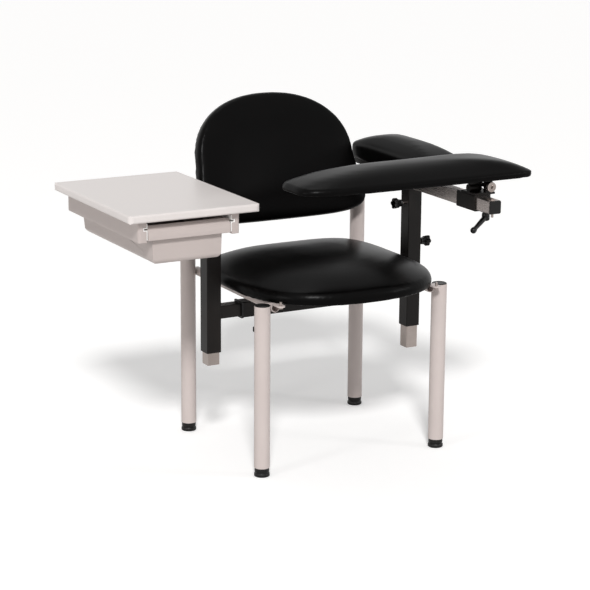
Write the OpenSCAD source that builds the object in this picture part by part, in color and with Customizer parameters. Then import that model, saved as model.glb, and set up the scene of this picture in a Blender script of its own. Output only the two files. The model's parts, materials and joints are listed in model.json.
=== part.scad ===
// Phlebotomy chair: tubular frame, padded seat and back, a storage table with a drawer
// on one side, and on the other a padded arm that slides, swivels and flips up.
// X runs across the chair, Y towards its back, Z up from the floor. Millimetres.

/* [Frame] */
// Distance from the seat's side in to the leg centres
leg_inset = 8.5; // [3:0.5:14]
// Distance between the leg centres, front to back
leg_span_y = 403; // [390:1:420]
// Outer diameter of the leg tubes
leg_d = 38.1; // [36:0.1:40]
// Wall of the leg tubes
leg_wall = 2; // [1.6:0.1:3]
// Height of the top of the front leg tubes
front_leg_top = 419; // [400:1:421]
// Height of the top of the rear leg tubes, which carry the back
upright_top = 620; // [590:1:625]
// Outer diameter of the side rails and cross tubes
rail_d = 22.2; // [19:0.1:25]
// Wall of the side rails and cross tubes
rail_wall = 1.6; // [1.2:0.1:2.5]
// Length of side rail past the leg centres
rail_overhang = 8.5; // [4:0.5:14]
// Place of the rear cross rail behind the chair's centre
cross_rail_y = 120; // [80:1:150]

/* [Glides and caps] */
// Height of a glide below its leg tube
glide_h = 22; // [16:1:28]
// Diameter of a glide's foot
glide_d = 38; // [34:0.5:44]
// Height of a glide's foot
glide_foot_h = 9; // [6:0.5:12]
// Diameter of a glide's neck
glide_neck_d = 35.5; // [35:0.1:37]
// Length of the plugs of glides and caps inside their tubes
plug_len = 12; // [8:1:20]
// Thickness of a cap's flange
cap_t = 2.5; // [1.5:0.5:4]
// Depth of the dish in a cap
cap_dish = 1; // [0.5:0.1:1.4]

/* [Seat] */
// Width of the seat
seat_w = 506; // [480:1:515]
// Reach of the seat in front of the chair's centre
seat_front = 304; // [270:1:320]
// Reach of the seat behind the chair's centre
seat_back = 208; // [190:1:220]
// Height of the underside of the seat board
seat_z = 424; // [424:1:440]
// Thickness of the seat, back and arm boards
board_t = 12; // [9:0.5:16]
// Distance from a board's edge in to the cushion's edge
board_inset = 4; // [2:0.5:8]
// Height of the seat cushion's sides above its board
seat_edge = 22; // [18:1:40]
// Rise of the seat cushion's crown
seat_crown = 39; // [12:1:44]

/* [Backrest] */
// Difference between the seat's width and the backrest's width at its waist
back_narrow = 71; // [66:1:86]
// Added width of the backrest's flare below the waist
back_flare = 77; // [50:1:80]
// Height of the backrest along its slope
back_h = 325; // [290:1:350]
// Height of the waist above the lower edge, along the slope
back_waist = 150; // [130:1:170]
// Height of the lower edge of the back board
back_z = 528; // [520:1:545]
// Slope of the backrest from upright
back_tilt = 19; // [16:0.5:21]
// Radius of the backrest's bend around the sitter
back_bend = 1200; // [1000:10:1400]
// Height of the back cushion's sides above its board
back_edge = 30; // [24:1:36]
// Rise of the back cushion's crown
back_crown = 14; // [6:1:20]

/* [Posts and slides] */
// Width of the square posts and of the receiver tube
post_w = 38.1; // [37.9:0.1:40]
// Wall of the square posts and of the receiver tube
post_wall = 3; // [2.5:0.1:3]
// Width of the square inner tubes and slide arms
tube_w = 31.75; // [30.5:0.05:31.8]
// Wall of the square inner tubes and slide arms
tube_wall = 2.2; // [1.8:0.1:3]
// Clearance between the seat's side and a post
seat_to_post = 10; // [6:0.5:16]
// Place of the posts behind the chair's centre
post_y = -4; // [-20:1:20]
// Height of a post's lower end
post_bottom = 264; // [250:1:280]
// Height of the left post's upper end
left_post_top = 612; // [600:1:614]
// Height of the right post's upper end
right_post_top = 620; // [600:1:621]
// Height of the middle of the receiver tube
receiver_z = 362.5; // [350:0.5:370]
// Length of the receiver tube
receiver_len = 406; // [380:1:420]
// Length of a collar past the receiver's end
collar_t = 5; // [3:0.5:8]
// Length of slide arm inside the receiver tube
arm_engage = 130; // [100:1:150]
// Height of the lower end of the left inner tube
left_tube_bottom = 233; // [220:1:250]
// Height of the lower end of the right inner tube
right_tube_bottom = 207; // [200:1:230]

/* [Knobs] */
// Diameter of a knob's stud
stud_d = 8; // [6:0.5:10]
// Length of stud seen between a post and its knob
stud_show = 10; // [6:0.5:14]
// Length of stud seen between the receiver and the knob below it
stud_show_under = 22; // [16:1:30]
// Diameter of a knob over its lobes
knob_d = 28; // [24:1:34]
// Thickness of a knob's head
knob_t = 25; // [18:0.5:28]
// Number of lobes
knob_lobes = 5; // [5:1:7]
// Distance from the receiver's end in to its knob
under_knob_in = 51; // [38:1:63]
// Height of the outer knob of the right post
right_outer_knob_z = 479; // [440:1:520]
// Height of the outer knob of the left post
left_outer_knob_z = 532; // [520:1:560]
// Height of the inner knobs of both posts
inner_knob_z = 583; // [560:1:590]

/* [Table] */
// Width of the tabletop
table_w = 330; // [300:1:360]
// Depth of the tabletop
table_d = 449; // [430:1:480]
// Thickness of the tabletop
table_t = 19; // [16:0.5:25]
// Height of the table's upper surface
table_z = 670; // [669:1:690]
// Corner radius of the tabletop
table_corner = 12; // [6:0.5:24]
// Radius of the tabletop's eased edges
table_ease = 5; // [2:0.5:7]
// Thickness of the table support plate
support_t = 6; // [4:0.5:8]
// Width of the table support plate
support_w = 41; // [36:0.5:43]
// Length of the table support plate
support_len = 280; // [200:1:320]

/* [Drawer] */
// Width of a drawer rail
drail_w = 20; // [18:0.5:22]
// Height of a drawer rail
drail_h = 50; // [46:0.5:56]
// Distance from the table's rear edge in to the rails' rear ends
drail_rear_in = 17; // [10:1:40]
// Distance from the table's front edge back to the rails
drail_setback = 20; // [16:0.5:28]
// Distance from the table's inner edge to the inner drawer rail
drail_margin = 45; // [45:0.5:48]
// Distance from the table's outer edge to the outer drawer rail
drail_outer_margin = 31; // [20:0.5:40]
// Depth of the groove in a drawer rail
groove_deep = 8; // [6:0.5:10]
// Wall of the white runner in the groove
runner_t = 1.5; // [1.2:0.1:2]
// Height of the runner's face strip
runner_face_h = 38; // [30:0.5:42]
// Thickness of the drawer's flange
flange_t = 4; // [3:0.5:5]
// Clearance of the flange in its runner, on each side
flange_gap = 0.4; // [0.3:0.05:0.6]
// Height of the flange's top below the tabletop
flange_drop = 17; // [15:0.5:19]
// Wall of the drawer
drawer_wall = 3; // [2:0.5:4]
// Depth of the drawer below its flange's top
drawer_deep = 89; // [70:1:110]
// Distance from the table's rear edge in to the drawer's rear
drawer_rear_in = 5; // [3:1:20]
// Distance from the pull lip's end in to the drawer's side
drawer_side_in = 14.5; // [8:0.5:18]
// Taper of each drawer side over its depth
drawer_side_taper = 3; // [1:0.5:10]
// Taper of the drawer's rear over its depth
drawer_rear_taper = 13; // [4:1:30]
// Radius of the drawer's lower edges
drawer_round = 13; // [5:0.5:16]
// Height of the pull lip's lower edge above the rails' underside
lip_rise = 4; // [0:0.5:8]
// Height of the pull lip's face
lip_face_h = 20; // [16:0.5:24]
// Reach of the pull lip in front of the drawer
lip_reach = 14; // [10:0.5:18]
// Distance of the pull lip in front of the drawer rails
lip_proud = 2; // [0:0.5:5]
// Height of the slope above the lip's face
lip_slope_h = 13; // [8:0.5:16]

/* [Arm rail] */
// Distance from the rail's front end to the post's middle
arm_rail_front = 373; // [360:1:390]
// Distance from the post's middle to the rail's rear end
arm_rail_rear = 164; // [140:1:180]
// Height of the rail's underside
arm_rail_z = 622; // [622:1:630]
// Length of the sleeve
sleeve_len = 80; // [70:1:90]
// Distance from the sleeve's front end to the rail's front end
sleeve_setback = 57; // [54:1:70]
// Diameter of the stop bolt
stop_bolt_d = 6; // [5:0.5:8]
// Distance from the rail's front end to the stop bolt
stop_bolt_in = 10; // [9:0.5:12]
// Length of stop bolt below the rail
stop_bolt_out = 10; // [6:0.5:14]
// Thickness of the rail's end caps
rail_cap_t = 3; // [2:0.5:6]
// Length of an end cap's plug
rail_cap_plug = 4; // [3:0.5:5]

/* [Swivel and hinge] */
// Diameter of the swivel bolt and of the hinge bolt
pivot_d = 10; // [8:0.5:11]
// Diameter of the boss beside the sleeve
boss_d = 20; // [18:0.5:22]
// Length of the boss below the sleeve
boss_drop = 5; // [2:0.5:8]
// Distance from the sleeve's front end back to the swivel bolt
swivel_in = 21; // [18:0.5:26]
// Thickness of the hinge's base plate and ears
hinge_t = 5; // [4:0.5:6]
// Height of the hinge bolt above the sleeve
hinge_rise = 19; // [18:0.5:21]
// Distance from the swivel bolt in to the hinge bolt
hinge_in = 5; // [0:0.5:6]
// Width of the hinge over its outer ears
hinge_w = 60; // [54:0.5:64]
// Radius of the ears round the hinge bolt
ear_r = 11.5; // [10:0.5:12]
// Diameter of the hinge bolt's head
hinge_head_d = 24; // [20:0.5:26]
// Thickness of the hinge bolt's head
hinge_head_t = 9; // [6:0.5:12]
// Diameter of the stop bar under the leaf
stop_bar_d = 19; // [15:0.5:20]
// Length of the lever's hub
lever_hub_h = 25; // [20:0.5:30]
// Diameter of the lever's hub
lever_hub_d = 19; // [17:0.5:20]
// Length of the lever's arm
lever_arm = 68; // [55:1:76]
// Drop of the lever's arm below level
lever_drop = 22; // [10:1:30]
// Direction of the lever's arm, from +X
lever_angle = 207; // [190:1:225]

/* [Flip arm] */
// Length of the flip arm's pad
flip_len = 619; // [560:1:640]
// Width of the flip arm's pad
flip_w = 186; // [170:1:192]
// Height of the underside of the flip arm's board
flip_z = 700; // [698:1:705]
// Length of pad on the outer side of the hinge bolt
flip_outer = 97; // [80:1:100]
// Height of the flip cushion's sides above its board
flip_edge = 7; // [6:0.5:20]
// Rise of the flip cushion's crown
flip_crown = 29; // [10:0.5:32]

/* [Rear arm rest] */
// Length of the rear arm rest
rear_len = 378; // [340:1:380]
// Width of the rear arm rest
rear_w = 120; // [100:1:124]
// Reach of the rear arm rest behind the chair's centre
rear_back = 222; // [210:1:226]
// Height of the underside of the rear arm rest's board
rear_z = 668; // [666:1:688]
// Offset of the rear arm rest outward from the rail
rear_shift = 4.5; // [0:0.5:20]
// Length of the channel between the rail and the rear arm rest
rear_channel_len = 260; // [200:1:300]
// Distance from the rear arm rest's rear end in to the channel
rear_channel_in = 16; // [16:1:40]
// Height of the rear cushion's sides above its board
rear_edge = 34; // [16:0.5:36]
// Rise of the rear cushion's crown
rear_crown = 29; // [10:0.5:32]

/* [Hidden] */
$fn = 64;

// Clearances and the overrun of cuts
seat_gap = 0.3;
fit_gap = 0.05;
weld_gap = 0.1;
over = 1;

// Screws
screw_d = 6;
screw_head_d = 11;
screw_head_t = 4;
screw_grip = 9;
small_screw_d = 5;
small_head_d = 9;
small_head_t = 2.5;

// Frame places
leg_x = seat_w / 2 - leg_inset;
leg_y = leg_span_y / 2;
rail_x = leg_x - leg_d / 2 - rail_d / 2 - weld_gap;
rail_z = seat_z - seat_gap - rail_d / 2;
rail_end = leg_y + rail_overhang;
tab_t = 3;
tab_w = 20;
tab_len = 36;
tab_top = seat_z - seat_gap;
cross_screw_x = 120;
glide_round = 2;
cap_rim = 5;
back_w = seat_w - back_narrow;
back_tube_rise = 17;
back_tube_z = back_z + back_tube_rise;
back_tab_turn = 5.2;
back_tab_w = 40;
back_tab_t = 4;
back_tab_h = 150;
back_tab_drop = 8;
back_block_h = 30;
back_screw_shares = [0.45, 0.85];

// Places of the posts and slides
post_x = seat_w / 2 + seat_to_post + post_w / 2;
post_in = post_x - post_w / 2;
under_knob_x = receiver_len / 2 - under_knob_in;
corner_r = 2;
inner_corner_r = 1.2;
collar_over = 1.5;
hanger_x = 150;
hanger_w = 30;
hanger_t = 4;
knob_lobe_share = 0.19;
knob_core_share = 0.37;
knob_hub_share = 0.45;
knob_neck_share = 1.7;

// Table places
table_inner = -post_in;
table_outer = table_inner - table_w;
table_y = post_y;
table_under = table_z - table_t;
table_front = table_y - table_d / 2;
left_tube_top = table_under - support_t;
gusset_h = 27;
gusset_reach = 90;
gusset_t = 5;
support_screw_share = 0.42;
drail_in_face = table_inner - drail_margin - drail_w;
drail_out_face = table_outer + drail_outer_margin + drail_w;
drawer_x = (drail_in_face + drail_out_face) / 2;
drawer_gap_half = (drail_in_face - drail_out_face) / 2;
table_rear = table_y + table_d / 2;
drail_front = table_front + drail_setback;
drail_len = table_rear - drail_rear_in - drail_front;
drail_bottom = table_under - drail_h;
flange_top = table_under - flange_drop;
runner_face_t = 2;
runner_side_gap = 1.5;
runner_fit = 0.1;
slot_h = flange_t + 2 * flange_gap;
groove_h = slot_h + 2 * runner_t + 2 * runner_fit;
groove_z = flange_top + flange_gap + runner_t + runner_fit - groove_h;
flange_bite = groove_deep - runner_fit - runner_t - flange_gap;
drawer_half = drawer_gap_half - runner_face_t - runner_side_gap;
drawer_front = drail_front - lip_proud + lip_reach;
drawer_rear = table_rear - drawer_rear_in;
drawer_len = drawer_rear - drawer_front;
drawer_bottom = flange_top - drawer_deep;
lip_bottom = drail_bottom + lip_rise;

// Arm rail places
arm_x = post_x;
arm_rail_mid = arm_rail_z + tube_w / 2;
arm_rail_top = arm_rail_z + tube_w;
arm_front = post_y - arm_rail_front;
arm_back = post_y + arm_rail_rear;
sleeve_front = arm_front + sleeve_setback;
sleeve_top = arm_rail_mid + post_w / 2;
swivel_x = arm_x + post_w / 2 + boss_d / 2 - post_wall / 2;
swivel_y = sleeve_front + swivel_in;
swivel_head_d = 16;
swivel_head_t = 4.5;
base_z = sleeve_top + seat_gap;
hinge_x = swivel_x - hinge_in;
hinge_z = sleeve_top + hinge_rise;
hinge_front = sleeve_front;
hinge_back = hinge_front + hinge_w;
hinge_mid = (hinge_front + hinge_back) / 2;
base_left = arm_x - post_w / 2;
base_right = swivel_x + boss_d / 2 + seat_gap;
leaf_gap = 0.4;
leaf_t = 4;
leaf_out = 64;
leaf_z = flip_z - leaf_t;
leaf_screw_shares = [0.45, 0.85];
stop_bar_len = 33;
stop_bar_z = base_z + hinge_t + stop_bar_d / 2 - over;
stop_block_w = 26;
nut_d = 17;
nut_t = 8;
boss_bottom = arm_rail_mid - post_w / 2 - boss_drop;
lever_top = boss_bottom - seat_gap;
lever_collar_h = 5;
lever_collar_d = 15;
lever_neck_d = 13;
lever_tip_d = 11;
lever_end_d = 15;
lever_end_h = 10;
lever_bolt_share = 0.8;
lever_bore = lever_hub_h * lever_bolt_share;
socket_share = 0.8;
stop_head_d_share = 1.7;
stop_head_t_share = 0.5;

// Pad places
seat_mid_y = (seat_back - seat_front) / 2;
flip_x = hinge_x + flip_outer - flip_len / 2;
flip_y = sleeve_front + sleeve_len / 2;
rear_x = arm_x + rear_shift;
rear_y = rear_back - rear_len / 2;
rear_bracket_t = 4;
rear_bracket_plate = 92;
rear_channel_front = rear_back - rear_channel_in - rear_channel_len;
rear_screw_shares = [0.12, 0.88];

// Shape of the pads: superellipse powers, and how the sides draw in and round over
seat_front_power = 2.55;
seat_rear_power = 4.15;
flip_tip_power = 4;
flip_outer_power = 12;
rear_power = 9;
back_top_power = 2.2;
back_foot_power = 5.9;
flare_power = 1.5;
draw_in = 5;
pad_sides = 48;
seat_round = 26;
back_round = 24;
flip_round = 14;
rear_round = 16;
round_angles = [0, 25, 50, 72];
crown_shares = [0.94, 0.8, 0.6, 0.36, 0.14];
bulge_share = 0.45;

// Origin of the part: the middle of its box, on the floor
back_reach = leg_y - leg_d / 2 + (back_h - board_inset - draw_in) * sin(back_tilt);
mid_x = (table_outer + hinge_x + flip_outer) / 2;
mid_y = (arm_front - rail_cap_t + back_reach) / 2;

// Colours
frame_colour = "#C8BCB9";
black_coat = "#2A2523";
zinc = "#BDB2AF";
vinyl = "#1B1A1A";
plastic = "#141414";
laminate = "#D6CFCC";
moulded = "#B5AAA6";
nylon = "#F2F0EE";
ply = "#B99B72";
steel = "#B9B6B2";

// Flat shapes

module round_rect(w, h, r) {
    square([w - 2 * r, h], center = true);
    square([w, h - 2 * r], center = true);
    for (x = [-1, 1], y = [-1, 1])
        translate([x * (w / 2 - r), y * (h / 2 - r)]) circle(r);
}

module square_section(w, wall) {
    difference() {
        round_rect(w, w, corner_r);
        round_rect(w - 2 * wall, w - 2 * wall, inner_corner_r);
    }
}

// Tubes: each runs up from the origin along Z

module round_tube(d, wall, len) {
    difference() {
        cylinder(d = d, h = len);
        translate([0, 0, -over]) cylinder(d = d - 2 * wall, h = len + 2 * over);
    }
}

module square_tube(w, wall, len) {
    linear_extrude(len) square_section(w, wall);
}

module along_x() {
    rotate([0, 90, 0]) children();
}

module along_y() {
    rotate([-90, 0, 0]) children();
}

// A hole for a pin of diameter d, from z0 to z1
module pin_hole(d, z0, z1) {
    translate([0, 0, z0]) cylinder(d = d + 2 * fit_gap, h = z1 - z0);
}

// A screw with its head at the bottom and its shank up, seated at z = 0
module screw(d, head_d, head_t, len) {
    translate([0, 0, -head_t]) cylinder(d = head_d, h = head_t);
    cylinder(d = d, h = len);
}

// Outline of a pad: half sizes hx and hy, with one power on each side of the split
function spread(v, power) = sign(v) * pow(abs(v), 2 / power);

function seat_outline(inset) = [
    for (i = [0:pad_sides - 1])
        let (a = 360 * i / pad_sides, power = sin(a) < 0 ? seat_front_power : seat_rear_power)
            [(seat_w / 2 - inset) * spread(cos(a), power),
             ((seat_front + seat_back) / 2 - inset) * spread(sin(a), power)]
];

function flip_outline(inset) = [
    for (i = [0:pad_sides - 1])
        let (a = 360 * i / pad_sides, power = cos(a) < 0 ? flip_tip_power : flip_outer_power)
            [(flip_len / 2 - inset) * spread(cos(a), power), (flip_w / 2 - inset) * spread(sin(a), power)]
];

function rear_outline(inset) = [
    for (i = [0:pad_sides - 1])
        let (a = 360 * i / pad_sides)
            [(rear_w / 2 - inset) * spread(cos(a), rear_power),
             (rear_len / 2 - inset) * spread(sin(a), rear_power)]
];

// The backrest is a dome above its waist and a flared foot below it
function back_outline(inset) = [
    for (i = [0:pad_sides - 1])
        let (a = 360 * i / pad_sides,
             power = sin(a) < 0 ? back_foot_power : back_top_power,
             up = spread(sin(a), power),
             flare = back_flare / 2 * pow(max(0, -up), flare_power),
             reach = up < 0 ? back_waist : back_h - back_waist)
            [(back_w / 2 + flare - inset) * spread(cos(a), power), (reach - inset) * up]
];

// Rings of a cushion over its board: drawn-in side, rounded shoulder, crown
function ring_points(outline, z) = [for (p = outline) [p[0], p[1], z]];

function cushion_points(outline, edge, crown, round_r) = concat(
    [[0, 0, 0]],
    ring_points(outline(draw_in), 0),
    ring_points(outline(0), edge * bulge_share),
    [for (a = round_angles)
        each ring_points(outline(round_r * (1 - cos(a))),
                         edge * bulge_share + (edge - edge * bulge_share) * sin(a))],
    [for (s = crown_shares)
        each ring_points([for (p = outline(round_r)) p * s], edge + crown * (1 - s * s))],
    [[0, 0, edge + crown]]
);

cushion_rings = 2 + len(round_angles) + len(crown_shares);

function ring_index(ring, i) = 1 + ring * pad_sides + i % pad_sides;

cushion_faces = concat(
    [for (i = [0:pad_sides - 1]) [0, ring_index(0, i), ring_index(0, i + 1)]],
    [for (r = [0:cushion_rings - 2], i = [0:pad_sides - 1])
        each [[ring_index(r, i), ring_index(r + 1, i), ring_index(r + 1, i + 1)],
              [ring_index(r, i), ring_index(r + 1, i + 1), ring_index(r, i + 1)]]],
    [for (i = [0:pad_sides - 1])
        [ring_index(cushion_rings - 1, i), 1 + cushion_rings * pad_sides, ring_index(cushion_rings - 1, i + 1)]]
);

module cushion(points) {
    polyhedron(points, cushion_faces, convexity = 4);
}

// Frame

module leg(x, y, top) {
    color(frame_colour)
        translate([x, y, glide_h]) round_tube(leg_d, leg_wall, top - glide_h);
}

module leg_cap(x, y, top) {
    color(plastic)
        translate([x, y, top]) difference() {
            union() {
                cylinder(d = leg_d - leg_wall / 2, h = cap_t);
                translate([0, 0, -plug_len]) cylinder(d = leg_d - 2 * leg_wall - 2 * weld_gap, h = plug_len);
            }
            translate([0, 0, cap_t - cap_dish]) cylinder(d = leg_d - 2 * cap_rim, h = cap_dish + over);
        }
}

module glide(x, y) {
    color(plastic)
        translate([x, y, 0]) rotate_extrude() {
            square([glide_d / 2 - glide_round, glide_foot_h]);
            translate([0, glide_round]) square([glide_d / 2, glide_foot_h - 2 * glide_round]);
            for (z = [glide_round, glide_foot_h - glide_round])
                translate([glide_d / 2 - glide_round, z]) circle(glide_round);
            square([glide_neck_d / 2, glide_h]);
            square([leg_d / 2 - leg_wall - weld_gap, glide_h + plug_len]);
        }
}

module side_rail(side) {
    color(frame_colour)
        translate([side * rail_x, -rail_end, rail_z]) along_y() round_tube(rail_d, rail_wall, 2 * rail_end);
}

module rear_cross_rail() {
    reach = rail_x - rail_d / 2 - weld_gap;
    color(frame_colour) difference() {
        translate([-reach, cross_rail_y, rail_z]) along_x() round_tube(rail_d, rail_wall, 2 * reach);
        for (x = [-1, 1])
            translate([x * cross_screw_x, cross_rail_y, 0]) pin_hole(screw_d, rail_z - rail_d, rail_z + rail_d);
    }
}

module seat_tab(side) {
    translate([side * rail_x, -rail_end, tab_top - tab_t]) difference() {
        union() {
            translate([-tab_w / 2, -tab_len + tab_w / 2, 0]) cube([tab_w, tab_len - tab_w / 2, tab_t]);
            translate([0, -tab_len + tab_w / 2, 0]) cylinder(d = tab_w, h = tab_t);
        }
        translate([0, -tab_len + tab_w / 2, 0]) pin_hole(screw_d, -over, tab_t + over);
    }
}

module seat_tabs() {
    color(frame_colour) for (side = [-1, 1]) seat_tab(side);
}

// Receiver tube and what hangs it under the seat

module receiver_tube() {
    color(black_coat) difference() {
        translate([-receiver_len / 2, post_y, receiver_z]) along_x() square_tube(post_w, post_wall, receiver_len);
        for (side = [-1, 1]) at_receiver_knob(side) pin_hole(stud_d, -post_wall - over, over);
    }
}

module receiver_collars() {
    size = post_w + 2 * collar_over;
    color(plastic) for (side = [-1, 1])
        translate([side * receiver_len / 2, post_y, receiver_z]) along_x()
            mirror([0, 0, side < 0 ? 1 : 0]) linear_extrude(collar_t) difference() {
                round_rect(size, size, corner_r);
                round_rect(post_w - 2 * post_wall, post_w - 2 * post_wall, inner_corner_r);
            }
}

module receiver_hanger(side) {
    bottom = receiver_z + post_w / 2;
    translate([side * hanger_x, post_y, 0]) difference() {
        union() {
            translate([-hanger_t / 2, -hanger_w / 2, bottom]) cube([hanger_t, hanger_w, tab_top - bottom]);
            translate([-hanger_w / 2, -hanger_w / 2, tab_top - hanger_t]) cube([hanger_w, hanger_w, hanger_t]);
        }
        for (x = [-1, 1])
            translate([x * hanger_w / 3, 0, 0]) pin_hole(small_screw_d, tab_top - hanger_t - over, tab_top + over);
    }
}

module receiver_hangers() {
    color(black_coat) for (side = [-1, 1]) receiver_hanger(side);
}

// Seat

module at_seat_screws() {
    for (side = [-1, 1]) {
        translate([side * rail_x, -rail_end - tab_len + tab_w / 2, tab_top - tab_t]) children(0);
        translate([side * cross_screw_x, cross_rail_y, rail_z - rail_d / 2]) children(1);
        for (x = [-1, 1])
            translate([side * hanger_x + x * hanger_w / 3, post_y, tab_top - hanger_t]) children(2);
    }
}

module seat_board() {
    color(ply) difference() {
        translate([0, seat_mid_y, seat_z]) linear_extrude(board_t) polygon(seat_outline(board_inset + draw_in));
        at_seat_screws() {
            pin_hole(screw_d, 0, tab_t + screw_grip + over);
            pin_hole(screw_d, 0, rail_d + screw_grip + over);
            pin_hole(small_screw_d, 0, hanger_t + screw_grip + over);
        }
    }
}

module seat_screws() {
    color(steel) at_seat_screws() {
        screw(screw_d, screw_head_d, screw_head_t, tab_t + screw_grip);
        screw(screw_d, screw_head_d, screw_head_t, rail_d + screw_grip);
        screw(small_screw_d, small_head_d, small_head_t, hanger_t + screw_grip);
    }
}

module seat_cushion() {
    color(vinyl) translate([0, seat_mid_y, seat_z + board_t])
        cushion(cushion_points(function (d) seat_outline(d), seat_edge, seat_crown, seat_round));
}

// Backrest: built upright in its own frame, its back face at y = 0 in the middle,
// bent round the sitter, then sloped back about its lower edge

module at_back() {
    translate([0, leg_y - leg_d / 2, back_z]) rotate([-back_tilt, 0, 0]) children();
}

module back_board() {
    color(ply) at_back() difference() {
        intersection() {
            translate([0, back_bend, back_waist]) along_y() mirror([0, 1, 0])
                translate([0, 0, -2 * back_bend]) linear_extrude(2 * back_bend)
                    polygon(back_outline(board_inset + draw_in));
            translate([0, -back_bend, 0]) difference() {
                cylinder(r = back_bend, h = back_h, $fn = 4 * pad_sides);
                translate([0, 0, -over])
                    cylinder(r = back_bend - board_t, h = back_h + 2 * over, $fn = 4 * pad_sides);
            }
        }
        at_back_screws() translate([0, 0, -over]) pin_hole(small_screw_d, 0, screw_grip + 2 * over);
    }
}

// Depth of the board's front face behind the middle of its back face
function board_front(x) = back_bend - sqrt(pow(back_bend - board_t, 2) - x * x);

module back_cushion() {
    points = cushion_points(function (d) back_outline(d), back_edge, back_crown, back_round);
    color(vinyl) at_back() translate([0, 0, back_waist])
        cushion([for (p = points) [p[0], -(p[2] + seat_gap + board_front(p[0])), p[1]]]);
}

// A tab's own frame: on the back of the board, facing it, with z up the slope
module at_back_tab(side) {
    translate([0, -back_bend, 0]) rotate([0, 0, side * back_tab_turn])
        translate([0, back_bend + seat_gap, back_tab_drop]) children();
}

module at_back_screws() {
    for (side = [-1, 1], share = back_screw_shares)
        at_back_tab(side) translate([0, -seat_gap, back_tab_h * share]) rotate([90, 0, 0]) children();
}

module back_cross_tube() {
    reach = leg_x - leg_d / 2 - weld_gap;
    color(frame_colour) translate([-reach, leg_y, back_tube_z]) along_x() round_tube(rail_d, rail_wall, 2 * reach);
}

module back_tabs() {
    color(frame_colour) difference() {
        at_back() for (side = [-1, 1]) at_back_tab(side) translate([-back_tab_w / 2, 0, 0]) {
            cube([back_tab_w, back_tab_t, back_tab_h]);
            cube([back_tab_w, 3 * back_tab_t, back_block_h]);
        }
        at_back() at_back_screws()
            translate([0, 0, -back_tab_t - over - seat_gap]) pin_hole(small_screw_d, 0, back_tab_t + 2 * over);
        translate([-leg_x, leg_y, back_tube_z]) along_x()
            cylinder(d = rail_d + 2 * weld_gap, h = 2 * leg_x);
    }
}

module back_screws() {
    color(steel) at_back() at_back_screws()
        translate([0, 0, -back_tab_t - seat_gap])
            screw(small_screw_d, small_head_d, small_head_t, back_tab_t + screw_grip);
}

// Posts, slide arms and inner tubes

module slide_arm(side) {
    color(black_coat) translate([side * post_in, post_y, receiver_z]) mirror([side > 0 ? 1 : 0, 0, 0])
        along_x() square_tube(tube_w, tube_wall, post_in - receiver_len / 2 + arm_engage);
}

module at_outer_knob(side, z) {
    translate([side * (post_x + post_w / 2), post_y, z]) rotate([0, side * 90, 0]) children();
}

module at_inner_knob(side) {
    translate([side * post_in, post_y, inner_knob_z]) rotate([0, -side * 90, 0]) children();
}

// The left knob is under the receiver, the right one behind it
module at_receiver_knob(side) {
    if (side < 0)
        translate([-under_knob_x, post_y, receiver_z - post_w / 2]) rotate([180, 0, 0]) children();
    else
        translate([under_knob_x, post_y + post_w / 2, receiver_z]) rotate([-90, 0, 0]) children();
}

function outer_knob_z(side) = side < 0 ? left_outer_knob_z : right_outer_knob_z;

module post(side) {
    top = side < 0 ? left_post_top : right_post_top;
    color(black_coat) difference() {
        translate([side * post_x, post_y, post_bottom]) square_tube(post_w, post_wall, top - post_bottom);
        at_outer_knob(side, outer_knob_z(side)) pin_hole(stud_d, -post_wall - over, over);
        at_inner_knob(side) pin_hole(stud_d, -post_wall - over, over);
    }
}

module inner_tube(side, bottom, top) {
    color(zinc) translate([side * post_x, post_y, bottom]) square_tube(tube_w, tube_wall, top - bottom);
}

// A star knob on a stud that goes through a wall; z = 0 is the wall's outer face
module star_knob(show) {
    lobe_r = knob_d * knob_lobe_share;
    core_r = knob_d * knob_core_share;
    hub_h = knob_t * knob_hub_share;
    color(steel) translate([0, 0, -post_wall]) cylinder(d = stud_d, h = post_wall + show + hub_h / 2);
    color(plastic) {
        translate([0, 0, show]) cylinder(d1 = stud_d * knob_neck_share, d2 = core_r * knob_neck_share, h = hub_h + over);
        translate([0, 0, show + hub_h]) {
            linear_extrude(knob_t - hub_h) {
                circle(core_r);
                for (i = [0:knob_lobes - 1])
                    rotate(360 * (i + 0.5) / knob_lobes) translate([knob_d / 2 - lobe_r, 0]) circle(lobe_r);
            }
        }
    }
}

// Table

module table_support() {
    plate_x = table_inner - support_w;
    color(frame_colour) difference() {
        union() {
            translate([plate_x, table_y - support_len / 2, left_tube_top]) cube([support_w, support_len, support_t]);
            for (y = [-1, 1])
                translate([-post_x + gusset_t / 2, table_y, left_tube_top + fit_gap]) rotate([90, 0, -90])
                    linear_extrude(gusset_t)
                        polygon([[-y * (tube_w / 2 + fit_gap), 0], [-y * gusset_reach, 0],
                                 [-y * gusset_reach, -gusset_t], [-y * (tube_w / 2 + fit_gap), -gusset_h]]);
        }
        at_table_screws() pin_hole(small_screw_d, -over, support_t + over);
    }
}

module at_table_screws() {
    for (x = [-1, 1], y = [-1, 1])
        translate([table_inner - support_w / 2 + x * support_w / 4,
                   table_y + y * support_screw_share * support_len, left_tube_top]) children();
}

module table_screws() {
    color(steel) at_table_screws()
        screw(small_screw_d, small_head_d, small_head_t, support_t + screw_grip);
}

module tabletop() {
    color(laminate) difference() {
        translate([(table_inner + table_outer) / 2, table_y, table_under + table_t / 2]) intersection() {
            linear_extrude(table_t + 2 * over, center = true) round_rect(table_w, table_d, table_corner);
            rotate([90, 0, 0]) linear_extrude(table_d + 2 * over, center = true)
                round_rect(table_w, table_t, table_ease);
            rotate([90, 0, 90]) linear_extrude(table_w + 2 * over, center = true)
                round_rect(table_d, table_t, table_ease);
        }
        at_table_screws() pin_hole(small_screw_d, 0, support_t + screw_grip + over);
    }
}

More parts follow.
